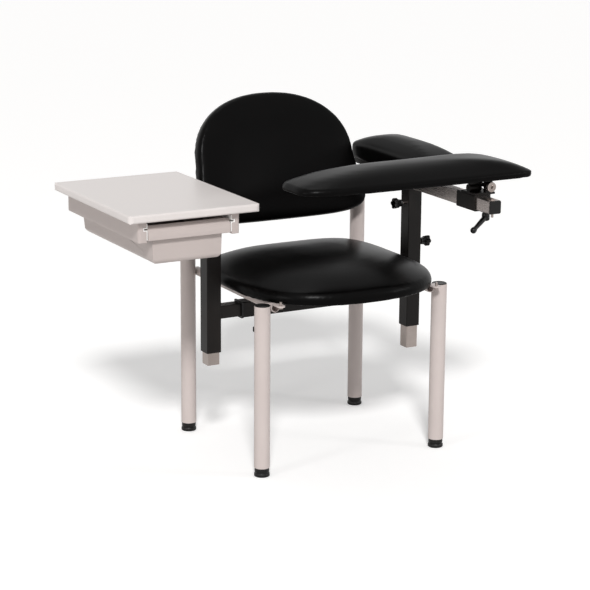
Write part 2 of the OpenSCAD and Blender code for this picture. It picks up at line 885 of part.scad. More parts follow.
// Section of a drawer rail, its inner face at x = 0 and its groove facing +X
module drawer_rail_section() {
    difference() {
        translate([-drail_w, drail_bottom]) square([drail_w, drail_h]);
        translate([-groove_deep, groove_z]) square([groove_deep + over, groove_h]);
    }
}

module runner_section() {
    strip_z = drail_bottom + (drail_h - runner_face_h) / 2;
    difference() {
        union() {
            translate([0, strip_z]) square([runner_face_t, runner_face_h]);
            translate([runner_fit - groove_deep, groove_z + runner_fit])
                square([groove_deep, groove_h - 2 * runner_fit]);
        }
        translate([runner_fit - groove_deep + runner_t, flange_top + flange_gap - slot_h])
            square([groove_deep + runner_face_t, slot_h]);
    }
}

// Places a section along both drawer rails: side -1 is the outer one
module at_drawer_rail(side, len) {
    translate([side < 0 ? drail_out_face : drail_in_face, drail_front, 0]) mirror([side > 0 ? 1 : 0, 0, 0])
        rotate([90, 0, 0]) translate([0, 0, -len]) linear_extrude(len) children();
}

module drawer_rail(side) {
    color(moulded) at_drawer_rail(side, drail_len) drawer_rail_section();
}

module drawer_runners() {
    color(nylon) for (side = [-1, 1])
        at_drawer_rail(side, drail_len - 2 * flange_t) runner_section();
}

// Cross section of the drawer: half widths at top and bottom, rounded lower corners.
// It hangs down from y = 0.
module drawer_profile(left_top, left_low, right_top, right_low, deep, r) {
    hull() {
        polygon([[-left_top, 0], [right_top, 0], [right_low, -deep + r], [-left_low, -deep + r]]);
        translate([-left_low + r, -deep + r]) circle(r, $fn = 32);
        translate([right_low - r, -deep + r]) circle(r, $fn = 32);
    }
}

// The drawer's body, or with an inset its cavity
module drawer_body(inset, lift) {
    half = drawer_half - drawer_side_in - inset;
    low = half - drawer_side_taper;
    len = drawer_len - 2 * inset;
    low_len = len - drawer_rear_taper;
    deep = drawer_deep - inset;
    r = drawer_round - inset / 2;
    translate([drawer_x, 0, flange_top]) intersection() {
        translate([0, drawer_rear, lift]) rotate([90, 0, 0]) linear_extrude(drawer_len)
            drawer_profile(half, low, half, low, deep + lift, r);
        translate([-drawer_half, drawer_front + inset, lift]) rotate([90, 0, 90]) linear_extrude(2 * drawer_half)
            drawer_profile(0, 0, len, low_len, deep + lift, r);
    }
}

module pull_lip() {
    front = drawer_front - lip_reach;
    face_top = lip_bottom + lip_face_h;
    translate([drawer_x - drawer_half, 0, 0]) rotate([90, 0, 90]) linear_extrude(2 * drawer_half)
        polygon([[front, lip_bottom], [drawer_front + drawer_wall, lip_bottom],
                 [drawer_front + drawer_wall, face_top + lip_slope_h], [drawer_front, face_top + lip_slope_h],
                 [front, face_top]]);
}

module drawer() {
    reach = drawer_gap_half + flange_bite;
    color(moulded) difference() {
        union() {
            drawer_body(0, 0);
            translate([drawer_x - reach, drawer_front + drawer_wall, flange_top - flange_t])
                cube([2 * reach, drawer_len - 2 * drawer_wall, flange_t]);
            pull_lip();
        }
        drawer_body(drawer_wall, over);
    }
}

// Arm rail

module arm_rail() {
    color(zinc) difference() {
        translate([arm_x, arm_front, arm_rail_mid]) along_y() square_tube(tube_w, tube_wall, arm_back - arm_front);
        translate([arm_x, arm_front + stop_bolt_in, 0]) pin_hole(stop_bolt_d, arm_rail_z - over, arm_rail_top + over);
    }
}

module rail_cap(y, turn) {
    translate([arm_x, y, arm_rail_mid]) rotate([turn, 0, 0]) {
        linear_extrude(rail_cap_t) round_rect(tube_w, tube_w, 2 * corner_r);
        translate([0, 0, -rail_cap_plug]) linear_extrude(rail_cap_plug + fit_gap)
            round_rect(tube_w - 2 * tube_wall - 2 * weld_gap, tube_w - 2 * tube_wall - 2 * weld_gap, inner_corner_r);
    }
}

module arm_rail_caps() {
    color(plastic) {
        rail_cap(arm_front, 90);
        rail_cap(arm_back, -90);
    }
}

module rail_stop_bolt() {
    color(steel) translate([arm_x, arm_front + stop_bolt_in, 0]) {
        translate([0, 0, arm_rail_z - stop_bolt_out]) cylinder(d = stop_bolt_d, h = tube_w + stop_bolt_out);
        translate([0, 0, arm_rail_top])
            cylinder(d = stop_bolt_d * stop_head_d_share, h = stop_bolt_d * stop_head_t_share);
    }
}

module at_rear_screws() {
    for (share = rear_screw_shares, x = [-1, 1])
        translate([arm_x + x * rear_bracket_plate / 3, rear_channel_front + share * rear_channel_len,
                   rear_z - rear_bracket_t]) children();
}

// A channel, open below, with a flange and a skirt on each side under the board
module rear_arm_brackets() {
    channel_w = tube_w - 2 * corner_r;
    channel_h = rear_z - arm_rail_top;
    color(black_coat) difference() {
        translate([arm_x, rear_channel_front, arm_rail_top]) difference() {
            union() {
                translate([-channel_w / 2, 0, 0]) cube([channel_w, rear_channel_len, channel_h]);
                translate([-rear_bracket_plate / 2, 0, channel_h - rear_bracket_t])
                    cube([rear_bracket_plate, rear_channel_len, rear_bracket_t]);
                for (x = [-rear_bracket_plate / 2, rear_bracket_plate / 2 - rear_bracket_t])
                    translate([x, 0, seat_gap]) cube([rear_bracket_t, rear_channel_len, channel_h - seat_gap]);
            }
            translate([rear_bracket_t - channel_w / 2, -over, -over])
                cube([channel_w - 2 * rear_bracket_t, rear_channel_len + 2 * over,
                      channel_h - rear_bracket_t + over]);
        }
        at_rear_screws() pin_hole(small_screw_d, -over, rear_bracket_t + over);
    }
}

module rear_arm_board() {
    color(ply) difference() {
        translate([rear_x, rear_y, rear_z]) linear_extrude(board_t) polygon(rear_outline(board_inset + draw_in));
        at_rear_screws() pin_hole(small_screw_d, 0, rear_bracket_t + screw_grip + over);
    }
}

module rear_arm_screws() {
    color(steel) at_rear_screws()
        screw(small_screw_d, small_head_d, small_head_t, rear_bracket_t + screw_grip);
}

module rear_arm_cushion() {
    color(vinyl) translate([rear_x, rear_y, rear_z + board_t])
        cushion(cushion_points(function (d) rear_outline(d), rear_edge, rear_crown, rear_round));
}

// Sleeve, swivel and hinge

module arm_sleeve() {
    color(black_coat) difference() {
        union() {
            translate([arm_x, sleeve_front, arm_rail_mid]) along_y() linear_extrude(sleeve_len)
                round_rect(post_w, post_w, corner_r);
            translate([swivel_x, swivel_y, boss_bottom]) cylinder(d = boss_d, h = sleeve_top - boss_bottom);
        }
        translate([arm_x, sleeve_front - over, arm_rail_mid]) along_y() linear_extrude(sleeve_len + 2 * over)
            round_rect(post_w - 2 * post_wall, post_w - 2 * post_wall, inner_corner_r);
        translate([swivel_x, swivel_y, 0]) pin_hole(pivot_d, boss_bottom - over, sleeve_top + over);
    }
}

module swivel_bolt() {
    bottom = lever_top - lever_bore + fit_gap;
    top = base_z + hinge_t + fit_gap;
    color(steel) translate([swivel_x, swivel_y, 0]) {
        translate([0, 0, bottom]) cylinder(d = pivot_d, h = top - bottom);
        translate([0, 0, top]) cylinder(d = swivel_head_d, h = swivel_head_t);
    }
}

module hinge_base() {
    color(black_coat) difference() {
        union() {
            translate([base_left, hinge_front, base_z]) cube([base_right - base_left, hinge_w, hinge_t]);
            for (y = [hinge_front, hinge_back - hinge_t])
                translate([hinge_x, y, 0]) {
                    translate([-ear_r, 0, base_z]) cube([2 * ear_r, hinge_t, hinge_z - base_z]);
                    translate([0, 0, hinge_z]) along_y() cylinder(r = ear_r, h = hinge_t);
                }
            translate([base_left, hinge_mid, stop_bar_z]) along_x() cylinder(d = stop_bar_d, h = stop_bar_len);
        }
        translate([swivel_x, swivel_y, 0]) pin_hole(pivot_d, base_z - over, base_z + hinge_t + over);
        translate([hinge_x, hinge_front - over, hinge_z]) along_y() pin_hole(pivot_d, 0, hinge_w + 2 * over);
    }
}

module at_flip_screws() {
    for (share = leaf_screw_shares, y = [-1, 1])
        translate([hinge_x + share * leaf_out, hinge_mid + y * hinge_w / 4, leaf_z]) children();
}

module hinge_leaf() {
    front = hinge_front + hinge_t + leaf_gap;
    back = hinge_back - hinge_t - leaf_gap;
    block_z = stop_bar_z + stop_bar_d / 2 + seat_gap;
    color(black_coat) difference() {
        union() {
            translate([base_left, front, leaf_z]) cube([hinge_x + leaf_out - base_left, back - front, leaf_t]);
            for (y = [front, back - hinge_t])
                translate([hinge_x, y, 0]) {
                    translate([-ear_r, 0, hinge_z]) cube([2 * ear_r, hinge_t, leaf_z + over - hinge_z]);
                    translate([0, 0, hinge_z]) along_y() cylinder(r = ear_r, h = hinge_t);
                }
            translate([base_left, hinge_mid - stop_bar_d / 2, block_z])
                cube([stop_block_w, stop_bar_d, leaf_z + over - block_z]);
        }
        translate([hinge_x, hinge_front - over, hinge_z]) along_y() pin_hole(pivot_d, 0, hinge_w + 2 * over);
        at_flip_screws() pin_hole(small_screw_d, -over, leaf_t + over);
    }
}

module hinge_bolt() {
    head_y = hinge_front - fit_gap - hinge_head_t;
    socket_d = pivot_d * socket_share;
    color(steel) translate([hinge_x, 0, hinge_z]) {
        difference() {
            translate([0, head_y, 0]) along_y() cylinder(d = hinge_head_d, h = hinge_head_t);
            translate([0, head_y - over, 0]) along_y() cylinder(d = socket_d, h = hinge_head_t / 2 + over, $fn = 6);
        }
        translate([0, head_y + hinge_head_t, 0]) along_y()
            cylinder(d = pivot_d, h = hinge_w + 2 * fit_gap + nut_t);
        translate([0, hinge_back + fit_gap, 0]) along_y() cylinder(d = nut_d, h = nut_t - over, $fn = 6);
    }
}

module clamp_lever() {
    bottom = lever_top - lever_hub_h;
    color(plastic) translate([swivel_x, swivel_y, 0]) difference() {
        union() {
            translate([0, 0, lever_top - lever_collar_h]) cylinder(d = lever_collar_d, h = lever_collar_h);
            translate([0, 0, bottom]) cylinder(d = lever_hub_d, h = lever_hub_h - lever_collar_h);
            translate([0, 0, bottom + lever_hub_d / 2]) rotate([0, 90 + lever_drop, lever_angle]) {
                cylinder(d1 = lever_neck_d, d2 = lever_tip_d, h = lever_arm - lever_end_h);
                translate([0, 0, lever_arm - lever_end_h]) cylinder(d = lever_end_d, h = lever_end_h);
            }
        }
        pin_hole(pivot_d, lever_top - lever_bore, lever_top + over);
    }
}

module flip_board() {
    color(ply) difference() {
        translate([flip_x, flip_y, flip_z]) linear_extrude(board_t) polygon(flip_outline(board_inset + draw_in));
        at_flip_screws() pin_hole(small_screw_d, 0, leaf_t + screw_grip + over);
    }
}

module flip_cushion() {
    color(vinyl) translate([flip_x, flip_y, flip_z + board_t])
        cushion(cushion_points(function (d) flip_outline(d), flip_edge, flip_crown, flip_round));
}

module flip_screws() {
    color(steel) at_flip_screws()
        screw(small_screw_d, small_head_d, small_head_t, leaf_t + screw_grip);
}

// The whole chair, moved so that the middle of its box is at the origin

translate([-mid_x, -mid_y, 0]) {
    leg(-leg_x, -leg_y, front_leg_top);  // front_leg_left
    leg(leg_x, -leg_y, front_leg_top);  // front_leg_right
    leg(-leg_x, leg_y, upright_top);  // rear_leg_left
    leg(leg_x, leg_y, upright_top);  // rear_leg_right
    for (x = [-1, 1]) leg_cap(x * leg_x, -leg_y, front_leg_top);  // front_leg_caps
    for (x = [-1, 1]) leg_cap(x * leg_x, leg_y, upright_top);  // rear_leg_caps
    glide(-leg_x, -leg_y);  // glide_front_left
    glide(leg_x, -leg_y);  // glide_front_right
    glide(-leg_x, leg_y);  // glide_rear_left
    glide(leg_x, leg_y);  // glide_rear_right
    side_rail(-1);  // side_rail_left
    side_rail(1);  // side_rail_right
    rear_cross_rail();
    seat_tabs();
    receiver_tube();
    receiver_collars();
    receiver_hangers();
    seat_board();
    seat_cushion();
    seat_screws();
    back_cross_tube();
    back_tabs();
    back_board();
    back_cushion();
    back_screws();
    slide_arm(-1);  // left_slide_arm
    post(-1);  // left_post
    inner_tube(-1, left_tube_bottom, left_tube_top);  // left_inner_tube
    at_receiver_knob(-1) star_knob(stud_show_under);  // left_receiver_knob
    at_outer_knob(-1, left_outer_knob_z) star_knob(stud_show);  // left_outer_knob
    at_inner_knob(-1) star_knob(stud_show);  // left_inner_knob
    slide_arm(1);  // right_slide_arm
    post(1);  // right_post
    inner_tube(1, right_tube_bottom, arm_rail_z);  // right_inner_tube
    at_receiver_knob(1) star_knob(stud_show);  // right_receiver_knob
    at_outer_knob(1, right_outer_knob_z) star_knob(stud_show);  // right_outer_knob
    at_inner_knob(1) star_knob(stud_show);  // right_inner_knob
    table_support();
    tabletop();
    drawer_rail(-1);  // drawer_rail_left
    drawer_rail(1);  // drawer_rail_right
    drawer_runners();
    drawer();
    table_screws();
    arm_rail();
    arm_rail_caps();
    rail_stop_bolt();
    arm_sleeve();
    swivel_bolt();
    clamp_lever();
    hinge_base();
    hinge_leaf();
    hinge_bolt();
    flip_board();
    flip_cushion();
    flip_screws();
    rear_arm_board();
    rear_arm_cushion();
    rear_arm_brackets();
    rear_arm_screws();
}
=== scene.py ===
import json
import math

import bmesh
import bpy
from mathutils import Matrix, Vector


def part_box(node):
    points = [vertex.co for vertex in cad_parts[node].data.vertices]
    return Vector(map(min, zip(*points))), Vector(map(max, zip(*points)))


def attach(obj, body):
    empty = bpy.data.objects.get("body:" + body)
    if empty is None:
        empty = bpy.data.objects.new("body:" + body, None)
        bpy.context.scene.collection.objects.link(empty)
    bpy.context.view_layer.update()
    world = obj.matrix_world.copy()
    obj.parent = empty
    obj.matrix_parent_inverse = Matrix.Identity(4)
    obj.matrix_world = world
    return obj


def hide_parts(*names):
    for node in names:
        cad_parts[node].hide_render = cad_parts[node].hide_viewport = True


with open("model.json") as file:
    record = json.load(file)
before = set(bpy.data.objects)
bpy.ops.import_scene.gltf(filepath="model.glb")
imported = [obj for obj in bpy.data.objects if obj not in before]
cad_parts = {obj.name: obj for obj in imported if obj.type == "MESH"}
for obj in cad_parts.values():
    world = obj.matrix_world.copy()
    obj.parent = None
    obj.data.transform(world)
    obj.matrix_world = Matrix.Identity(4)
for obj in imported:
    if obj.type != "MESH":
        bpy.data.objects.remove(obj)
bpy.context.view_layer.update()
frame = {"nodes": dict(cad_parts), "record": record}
scene = bpy.context.scene
millimetre = 0.001
print("frame loaded:", len(frame["nodes"]), "nodes")


# colours are written as sRGB hex, shaders want linear values
def linear(hexColour):
    values = []
    for start in (1, 3, 5):
        value = int(hexColour[start:start + 2], 16) / 255
        values.append(value / 12.92 if value <= 0.04045 else ((value + 0.055) / 1.055) ** 2.4)
    return (*values, 1.0)


# adds one shader node; inputs are sockets to link or plain values to set
def addNode(tree, kind, inputs=None, **settings):
    node = tree.nodes.new(kind)
    for name, value in settings.items():
        setattr(node, name, value)
    for socket, value in (inputs or {}).items():
        if isinstance(value, bpy.types.NodeSocket):
            tree.links.new(value, node.inputs[socket])
        else:
            node.inputs[socket].default_value = value
    return node


def newMaterial(name):
    material = bpy.data.materials.new(name)
    material.use_nodes = True
    tree = material.node_tree
    tree.nodes.clear()
    output = addNode(tree, "ShaderNodeOutputMaterial")
    shader = addNode(tree, "ShaderNodeBsdfPrincipled")
    tree.links.new(shader.outputs["BSDF"], output.inputs["Surface"])
    place = addNode(tree, "ShaderNodeTexCoord").outputs["Object"]
    return material, tree, shader, place


# noise whose blobs are sizeMm across, as a value around 0.5
def grain(tree, place, sizeMm, detail, stretch=(1, 1, 1)):
    if stretch != (1, 1, 1):
        place = addNode(tree, "ShaderNodeMapping", {"Vector": place, "Scale": stretch}).outputs["Vector"]
    scale = 1 / (sizeMm * millimetre)
    return addNode(tree, "ShaderNodeTexNoise",
                   {"Vector": place, "Scale": scale, "Detail": detail}).outputs["Fac"]


cloudDetail, lineDetail, skinDetail = 3, 2, 1  # how many finer layers each kind of pattern has
noiseSpan = (0.3, 0.7)  # nearly all of a noise's values lie between these


def remap(tree, value, low, high):
    start, end = noiseSpan
    return addNode(tree, "ShaderNodeMapRange", {"Value": value, "From Min": start, "From Max": end,
                                                "To Min": low, "To Max": high}).outputs["Result"]


# the share goes into socket 0 of a mix node, its two colours into sockets 6 and 7
def mixed(tree, share, first, second):
    return addNode(tree, "ShaderNodeMix", {0: share, 6: linear(first), 7: linear(second)},
                   data_type="RGBA").outputs[2]


# colour goes from the look's dark to its light with one pattern, roughness follows another
def tinted(tree, shader, look, colourPattern, glossPattern):
    colour = mixed(tree, colourPattern, look["dark"], look["light"])
    tree.links.new(colour, shader.inputs["Base Color"])
    tree.links.new(remap(tree, glossPattern, *look["roughness"]), shader.inputs["Roughness"])


def bumped(tree, shader, height, strength, distanceMm):
    bump = addNode(tree, "ShaderNodeBump", {"Height": height, "Strength": strength,
                                            "Distance": distanceMm * millimetre})
    tree.links.new(bump.outputs["Normal"], shader.inputs["Normal"])


# upholstery vinyl, embossed with a fine hide grain: black, with a soft broad shine
vinylLook = {"dark": "#030303", "light": "#060505", "roughness": (0.29, 0.32), "cloudMm": 60, "poreMm": 1.6,
             "bump": 0.04, "depthMm": 0.15, "specular": 0.055}


def upholsteryVinyl(look=vinylLook):
    material, tree, shader, place = newMaterial("upholsteryVinyl")
    shader.inputs["Specular IOR Level"].default_value = look["specular"]
    cloud = grain(tree, place, look["cloudMm"], cloudDetail)
    tinted(tree, shader, look, cloud, cloud)
    poreScale = 1 / (look["poreMm"] * millimetre)
    pores = addNode(tree, "ShaderNodeTexVoronoi", {"Vector": place, "Scale": poreScale},
                    feature="DISTANCE_TO_EDGE")
    bumped(tree, shader, pores.outputs["Distance"], look["bump"], look["depthMm"])
    return material


# polyester powder coat over steel tube, light taupe: slight orange peel, satin
taupeCoatLook = {"dark": "#BDB1AD", "light": "#C6BBB7", "roughness": (0.30, 0.40), "cloudMm": 90,
                 "peelMm": 2.2, "bump": 0.05, "depthMm": 0.2, "specular": 0.4}
# the same coat in black, a little rougher
blackCoatLook = {"dark": "#120F0E", "light": "#1A1614", "roughness": (0.36, 0.46), "cloudMm": 90,
                 "peelMm": 1.4, "bump": 0.08, "depthMm": 0.2, "specular": 0.2}


def powderCoat(name, look):
    material, tree, shader, place = newMaterial(name)
    shader.inputs["Specular IOR Level"].default_value = look["specular"]
    cloud = grain(tree, place, look["cloudMm"], cloudDetail)
    tinted(tree, shader, look, cloud, cloud)
    bumped(tree, shader, grain(tree, place, look["peelMm"], skinDetail), look["bump"], look["depthMm"])
    return material


# zinc-plated cold-rolled tube: bright grey metal with drawing lines along Z or Y
zincLook = {"dark": "#A0958F", "light": "#B2A8A3", "roughness": (0.26, 0.34), "cloudMm": 30, "lineMm": 1.2,
            "bump": 0.03, "depthMm": 0.05}
# the arm rail was polished further
railZincLook = {"dark": "#BFB5B1", "light": "#D0C7C3", "roughness": (0.24, 0.32), "cloudMm": 30,
                "lineMm": 1.2, "bump": 0.03, "depthMm": 0.05}
drawnScale = 0.03  # drawing lines are about 33 times as long as they are wide


def zincPlate(name, stretch, look=zincLook):
    material, tree, shader, place = newMaterial(name)
    shader.inputs["Metallic"].default_value = 1.0
    lines = grain(tree, place, look["lineMm"], lineDetail, stretch)
    cloud = grain(tree, place, look["cloudMm"], cloudDetail)
    tinted(tree, shader, look, cloud, lines)
    bumped(tree, shader, lines, look["bump"], look["depthMm"])
    return material


# glass-filled nylon and polyethylene mouldings: near black, fine spark-eroded skin
mouldedBlackLook = {"dark": "#070606", "light": "#0E0C0C", "roughness": (0.34, 0.44), "cloudMm": 120,
                    "skinMm": 0.8, "bump": 0.06, "depthMm": 0.1, "specular": 0.3}
# high-pressure laminate on board: warm light grey, satin, very faint mottle
laminateLook = {"dark": "#D2CBC8", "light": "#DAD4D1", "roughness": (0.34, 0.42), "cloudMm": 120,
                "skinMm": 1.5, "bump": 0.03, "depthMm": 0.1, "specular": 0.4}
# injection-moulded ABS drawer and painted rails: taupe grey, fine texture
mouldedGreyLook = {"dark": "#B3A8A4", "light": "#BAAFAB", "roughness": (0.38, 0.46), "cloudMm": 120,
                   "skinMm": 1.0, "bump": 0.04, "depthMm": 0.1, "specular": 0.4}
# natural nylon runner strip: milky white, slippery
nylonLook = {"dark": "#E9E7E4", "light": "#F4F2F0", "roughness": (0.28, 0.34), "cloudMm": 120,
             "skinMm": 1.0, "bump": 0.03, "depthMm": 0.1, "specular": 0.4}


def moulding(name, look):
    material, tree, shader, place = newMaterial(name)
    shader.inputs["Specular IOR Level"].default_value = look["specular"]
    cloud = grain(tree, place, look["cloudMm"], cloudDetail)
    tinted(tree, shader, look, cloud, cloud)
    bumped(tree, shader, grain(tree, place, look["skinMm"], skinDetail), look["bump"], look["depthMm"])
    return material


# birch plywood boards that carry the pads: pale, long grain
plyLook = {"dark": "#C6A678", "light": "#DCC298", "roughness": (0.55, 0.7), "grainMm": 6, "detail": 4,
           "alongGrain": 0.06, "bump": 0.1, "depthMm": 0.2}


def birchPly(look=plyLook):
    material, tree, shader, place = newMaterial("birchPly")
    figure = grain(tree, place, look["grainMm"], look["detail"], (1, look["alongGrain"], 1))
    tinted(tree, shader, look, figure, figure)
    bumped(tree, shader, figure, look["bump"], look["depthMm"])
    return material


finishes = {
    "vinyl": upholsteryVinyl(),
    "frame_coat": powderCoat("powderCoatTaupe", taupeCoatLook),
    "black_coat": powderCoat("powderCoatBlack", blackCoatLook),
    "zinc": zincPlate("zincPlateUpright", (1, 1, drawnScale)),
    "steel": zincPlate("zincPlateBolt", (1, 1, 1)),
    "black_plastic": moulding("mouldedNylonBlack", mouldedBlackLook),
    "laminate": moulding("laminateGrey", laminateLook),
    "moulded_grey": moulding("mouldedAbsGrey", mouldedGreyLook),
    "grey_coat": moulding("paintedRailGrey", mouldedGreyLook),
    "nylon": moulding("nylonRunner", nylonLook),
    "plywood": birchPly(),
}
slotOf = {part["node"]: part["material_slot"] for part in frame["record"]["subparts"]}
for nodeName, node in frame["nodes"].items():
    node.data.materials.clear()
    node.data.materials.append(finishes[slotOf[nodeName]])
armRailZinc = zincPlate("zincPlateRail", (1, drawnScale, 1), railZincLook)
frame["nodes"]["arm_rail"].data.materials[0] = armRailZinc
print("finishes set")


def finishPiece(bm, name, body, slot, replaced=()):
    mesh = bpy.data.meshes.new(name)
    bm.to_mesh(mesh)
    bm.free()
    piece = bpy.data.objects.new(name, mesh)
    scene.collection.objects.link(piece)
    for face in mesh.polygons:
        face.use_smooth = True
    mesh.materials.append(finishes[slot])
    if replaced:
        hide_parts(*replaced)
    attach(piece, body)
    return piece


# superellipse corner: how far out at this cosine or sine
def spread(value, power):
    return math.copysign(abs(value) ** (2 / power), value)


# outline of a pad with one power below its middle line and one above it
def ovalOutline(halfX, halfY, lowPower, highPower, along="y"):
    def outline(turn, inset):
        side = math.sin(turn) if along == "y" else math.cos(turn)
        power = lowPower if side < 0 else highPower
        across = (halfX - inset) * spread(math.cos(turn), power)
        return across, (halfY - inset) * spread(math.sin(turn), power)
    return outline


# the backrest: a dome above its waist, a flared foot below it
def backOutline(look):
    def outline(turn, inset):
        power = look["footPower"] if math.sin(turn) < 0 else look["topPower"]
        up = spread(math.sin(turn), power)
        flare = look["flare"] * max(0, -up) ** look["flarePower"]
        reach = look["foot"] if up < 0 else look["tall"] - look["waist"]
        return (look["halfX"] + flare - inset) * spread(math.cos(turn), power), (reach - inset) * up
    return outline


# a measure that may change round the outline: a plain number or a function of the turn
def at(value, turn):
    return value(turn) if callable(value) else value


# a closed solid grown ring by ring: a circle's face is extruded and laid on each ring in turn
def grown(segments, rings, spotAt):
    bm = bmesh.new()
    turnLayer = bm.verts.layers.float.new("turn")
    bmesh.ops.create_circle(bm, cap_ends=True, radius=1, segments=segments)
    for vert in bm.verts:
        vert[turnLayer] = math.atan2(vert.co.y, vert.co.x)
    face = bm.faces[:][0]
    for number, ring in enumerate(rings):
        if number:
            made = bmesh.ops.extrude_face_region(bm, geom=[face])["geom"]
            face = next(item for item in made if isinstance(item, bmesh.types.BMFace))
        for vert in face.verts:
            vert.co = Vector(spotAt(vert[turnLayer], ring)) * millimetre
    bmesh.ops.recalc_face_normals(bm, faces=bm.faces[:])
    return bm


# one pad lying flat, its board's underside at z = 0: hem below, drawn-in side, ridge, crown
def padBody(outline, look):
    def spotAt(turn, ring):
        kind, step = ring
        side, ridge, under = (at(look[measure], turn) for measure in ("side", "ridge", "under"))
        inset, height, share = look["hem"], look["recess"], 1.0
        if kind == "hem":
            height = under
        elif kind == "side":
            inset, height = look["draw"] * (1 - step) ** 2, under + (side - under) * step
        elif kind in ("ridge", "crown"):
            angle = math.radians(look["ridgeTurn"]) * (step if kind == "ridge" else 1)
            inset, height = ridge * (1 - math.cos(angle)), side + ridge * math.sin(angle)
        if kind == "crown":
            share = 1 - step
            rise = 1 - share ** at(look["crownPower"], turn)
            height += (look["top"] - height) * rise - look.get("dish", 0) * (1 - share) ** 2
        x, y = outline(turn, inset)
        return x * share, y * share, height

    steps, crowns = look["ridgeSteps"], look["crownSteps"]
    rings = [("recess", 0), ("hem", 0)] + [("side", share) for share in (0, 0.35, 0.7)]
    rings += [("ridge", step / steps) for step in range(steps + 1)]
    rings += [("crown", step / crowns) for step in range(1, crowns)]
    return grown(look["sides"], rings, spotAt)


# takes what the modifiers show as the piece's own mesh
def bakeShape(piece):
    shown = piece.evaluated_get(bpy.context.evaluated_depsgraph_get())
    mesh = bpy.data.meshes.new_from_object(shown)
    piece.modifiers.clear()
    piece.data = mesh


def relax(bm, verts, passes):
    for step in range(passes):
        bmesh.ops.smooth_vert(bm, verts=verts, factor=0.5, use_axis_x=True, use_axis_y=True, use_axis_z=True)


# takes the voxel steps out of the pad's upper side, where the normals point up; its sides stay
def calmCrown(pad, passes=14, upward=0.8):
    bm = bmesh.new()
    bm.from_mesh(pad.data)
    bm.normal_update()
    relax(bm, [vert for vert in bm.verts if vert.normal.z > upward], passes)
    bm.to_mesh(pad.data)
    bm.free()


# the cloth is held fully at its foot, and not at all above about two thirds of the look's holdTo
cloth = {"frames": 20, "pressure": 4.0, "mass": 0.35, "stiffness": 18.0, "bending": 0.6, "voxelMm": 5.5,
         "footHold": 1.1, "holdFall": 1.6}


def clothStart(bm, name, look):
    mesh = bpy.data.meshes.new(name)
    bm.to_mesh(mesh)
    bm.free()
    pad = bpy.data.objects.new(name, mesh)
    scene.collection.objects.link(pad)
    remesh = pad.modifiers.new("remesh", "REMESH")
    remesh.mode = "VOXEL"
    remesh.voxel_size = look.get("voxelMm", cloth["voxelMm"]) * millimetre
    bakeShape(pad)
    pad.data.name = name
    calmCrown(pad)
    held = pad.vertex_groups.new(name="held")
    for vert in pad.data.vertices:
        rise = vert.co.z / (look["holdTo"] * millimetre)
        hold = cloth["footHold"] - cloth["holdFall"] * rise
        held.add([vert.index], min(1, max(0, hold)), "REPLACE")
    settings = pad.modifiers.new("cloth", "CLOTH").settings
    settings.vertex_group_mass = "held"
    settings.mass = cloth["mass"]
    settings.use_pressure = True
    settings.uniform_pressure_force = cloth["pressure"]
    settings.tension_stiffness = settings.compression_stiffness = cloth["stiffness"]
    settings.bending_stiffness = cloth["bending"]
    settings.effector_weights.gravity = 0
    return pad


# the cloth's broad swelling is kept up to the cap, and its fine puckers are smoothed away,
# by smoothing the shifts of the points as if they were places
def evenSwelling(pad, before, look):
    bm = bmesh.new()
    bm.from_mesh(pad.data)
    cap = look["cap"] * millimetre
    for vert, start in zip(bm.verts, before):
        shift = vert.co - start
        vert.co = shift * min(1, cap / max(shift.length, 1e-9))
    relax(bm, bm.verts[:], look["calm"])
    for vert, shown, start in zip(bm.verts, pad.data.vertices, before):
        shown.co = start + vert.co
    bm.free()


def corners(node):
    low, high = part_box(node)
    return low / millimetre, high / millimetre


# the chair's own middle, between its legs, in this frame
seatLow, seatHigh = corners("seat_cushion")
legRadius, legToMiddle = 19.05, 201.5
chairX = (seatLow.x + seatHigh.x) / 2
chairY = corners("front_leg_left")[0].y + legRadius + legToMiddle


def flatPlace(cushion, board):
    low, high = corners(cushion)
    middle = Vector(((low.x + high.x) / 2, (low.y + high.y) / 2, corners(board)[0].z))
    return lambda spot: spot + middle * millimetre


# a point of the flat back pad goes round the sitter's bend, then leans back about the lower edge
def backPlace(look):
    lean = math.radians(look["lean"])

    def place(spot):
        x, up, out = spot.x / millimetre, spot.y / millimetre + look["waist"], spot.z / millimetre
        bend = look["bend"]
        reach = bend - look["board"]
        y = -(out + reach - math.sqrt(reach ** 2 - x * x))
        return Vector((x + chairX, chairY + look["standY"] + y * math.cos(lean) + up * math.sin(lean),
                       look["standZ"] - y * math.sin(lean) + up * math.cos(lean))) * millimetre
    return place


def halves(node):
    low, high = corners(node)
    return (high.x - low.x) / 2, (high.y - low.y) / 2


# the flip pad thins to a low rounded tip; the rear pad is a little taller on its outer side
def tipward(turn):
    return ((1 - math.cos(turn)) / 2) ** 4


